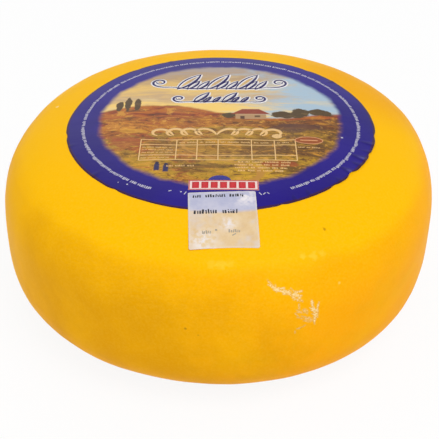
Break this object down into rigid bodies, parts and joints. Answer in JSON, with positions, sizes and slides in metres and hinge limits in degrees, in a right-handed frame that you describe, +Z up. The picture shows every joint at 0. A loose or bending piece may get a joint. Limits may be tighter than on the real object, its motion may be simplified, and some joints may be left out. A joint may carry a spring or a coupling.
{
  "type": "whole gouda cheese wheel",
  "caption": "Whole round gouda cheese with bulging sides and a yellow coating, a round printed label on top and a small square sticker on the label's edge.",
  "frame": {"origin": "middle of the flat foot that the wheel rests on", "axes": "+Z up out of the labelled top, -Y towards the front where the square sticker is, +X to the right as seen from the front"},
  "size_m": [0.2307, 0.2448, 0.0979],
  "materials": {
    "coating": "satin yellow breathable cheese coating with fine dimples, smears and rubbed spots",
    "label_paper": null,
    "sticker_paper": "thin matt paper sticker, slightly see-through, with bare ruled lines for its print"
  },
  "bodies": {
    "root": {"cheese_wheel": "coating", "round_label": "label_paper", "date_sticker": "sticker_paper"}
  },
  "joints": []
}
